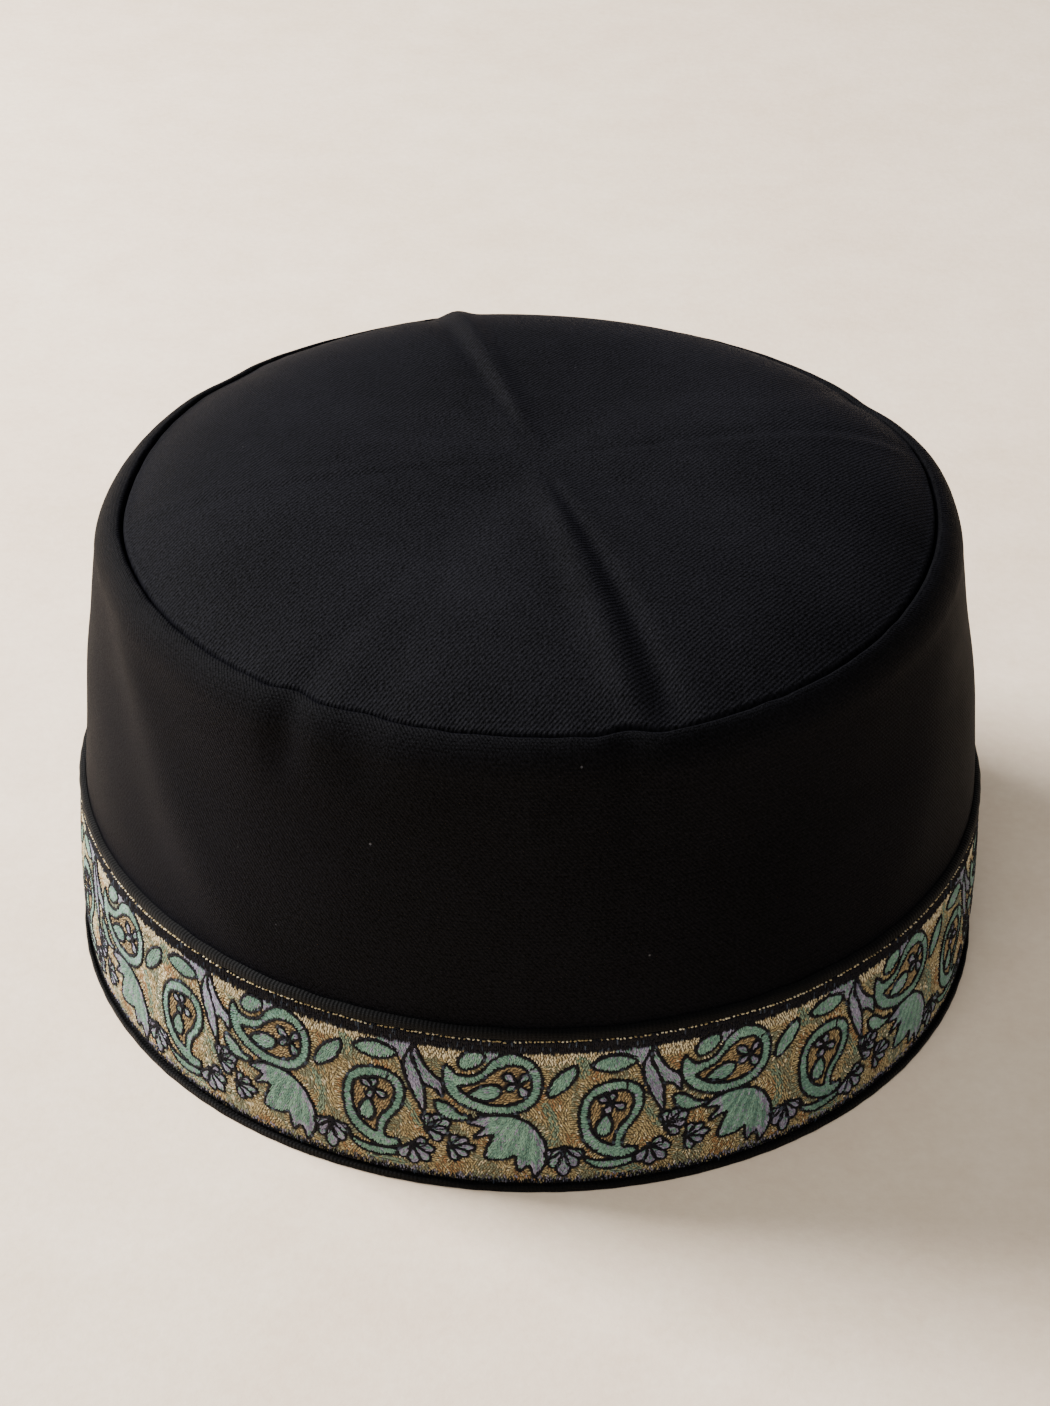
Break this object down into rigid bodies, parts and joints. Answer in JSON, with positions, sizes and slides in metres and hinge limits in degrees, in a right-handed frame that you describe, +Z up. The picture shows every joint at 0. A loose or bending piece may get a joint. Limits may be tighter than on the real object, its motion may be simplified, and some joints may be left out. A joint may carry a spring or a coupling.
{
  "type": "embroidered kashmiri cap",
  "caption": "Round black cloth cap with a soft creased crown, a tapering wall, an embroidered paisley band and a bound rim; worn on the head.",
  "frame": {"origin": "centre of the rim, on the surface that the cap stands on", "axes": "+Z up through the crown, -Y towards the front, +X to the right seen from the front"},
  "size_m": [0.19, 0.19, 0.1085],
  "materials": {
    "black_wool": "fine black wool twill, matt with a faint sheen",
    "embroidery": "dense chain stitch in gold, sage green and lilac thread with black outlines",
    "black_tape": "black cotton tape, folded and stitched"
  },
  "bodies": {
    "root": {"crown_panel": "black_wool", "side_wall": "black_wool", "embroidered_band": "embroidery", "band_edging": "black_tape", "rim_binding": "black_tape"}
  },
  "joints": []
}
